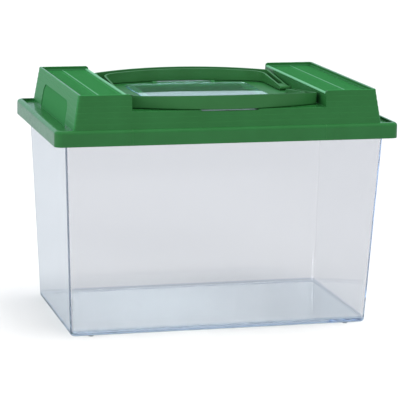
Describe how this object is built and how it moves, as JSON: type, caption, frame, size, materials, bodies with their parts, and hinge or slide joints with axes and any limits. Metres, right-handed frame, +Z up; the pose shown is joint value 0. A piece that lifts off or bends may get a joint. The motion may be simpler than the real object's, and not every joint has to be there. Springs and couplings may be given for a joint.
{
  "type": "pet keeper tank",
  "caption": "Clear drafted tank with a stepped, slitted lid that lifts off, a clear flush feeding hatch and folding carrying handles that meet as a grip.",
  "frame": {"origin": "on the ground under the middle of the tank", "axes": "+X to the right along the length, -Y to the front, +Z up"},
  "size_m": [0.2994, 0.192, 0.2099],
  "materials": {
    "clear_tank": "clear, polished",
    "green_lid": "semi-gloss moulded",
    "clear_hatch": "clear, polished",
    "green_handle": "semi-gloss moulded"
  },
  "bodies": {
    "tank": {"tank": "clear_tank"},
    "lid": {"lid": "green_lid"},
    "hatch": {"hatch": "clear_hatch"},
    "front_handle": {"front_handle": "green_handle"},
    "rear_handle": {"rear_handle": "green_handle"}
  },
  "joints": [
    {"name": "lid_lift", "type": "slide", "parent": "tank", "child": "lid", "axis": [0, 0, 1], "range_m": [0, 0.08]},
    {"name": "hatch_hinge", "type": "hinge", "parent": "lid", "child": "hatch", "pos_m": [0, 0.069, 0.1953], "axis": [-1, 0, 0], "range_deg": [0, 105]},
    {"name": "front_handle_hinge", "type": "hinge", "parent": "lid", "child": "front_handle", "pos_m": [0, -0.0101, 0.1978], "axis": [-1, 0, 0], "range_deg": [0, 90]},
    {"name": "rear_handle_hinge", "type": "hinge", "parent": "lid", "child": "rear_handle", "pos_m": [0, 0.0101, 0.1978], "axis": [1, 0, 0], "range_deg": [0, 90]}
  ]
}
